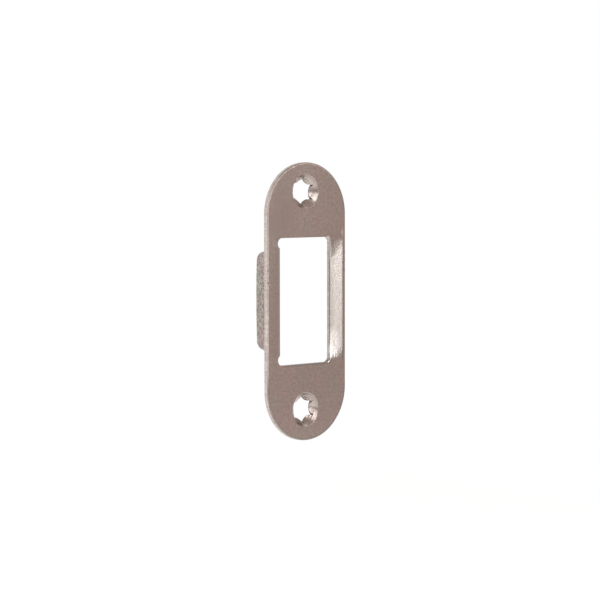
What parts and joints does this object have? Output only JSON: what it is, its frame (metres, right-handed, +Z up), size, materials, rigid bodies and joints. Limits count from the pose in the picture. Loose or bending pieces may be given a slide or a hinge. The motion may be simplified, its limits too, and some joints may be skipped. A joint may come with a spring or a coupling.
{
  "type": "door strike plate",
  "caption": "Flat round-ended strike plate with a latch window, a bent-back tab, a shallow pressed lead-in and countersunk screw holes.",
  "frame": {"origin": "middle of the plate's outline, in the plane of its back face", "axes": "+Z up along the plate's length, +Y out of the back face into the door jamb, +X across the plate from the tab towards the lead-in side"},
  "size_m": [0.024, 0.0087, 0.0646],
  "materials": {
    "nickel_plated_steel": "satin nickel plating on pressed steel sheet"
  },
  "bodies": {
    "root": {"strike_plate": "nickel_plated_steel"}
  },
  "joints": []
}
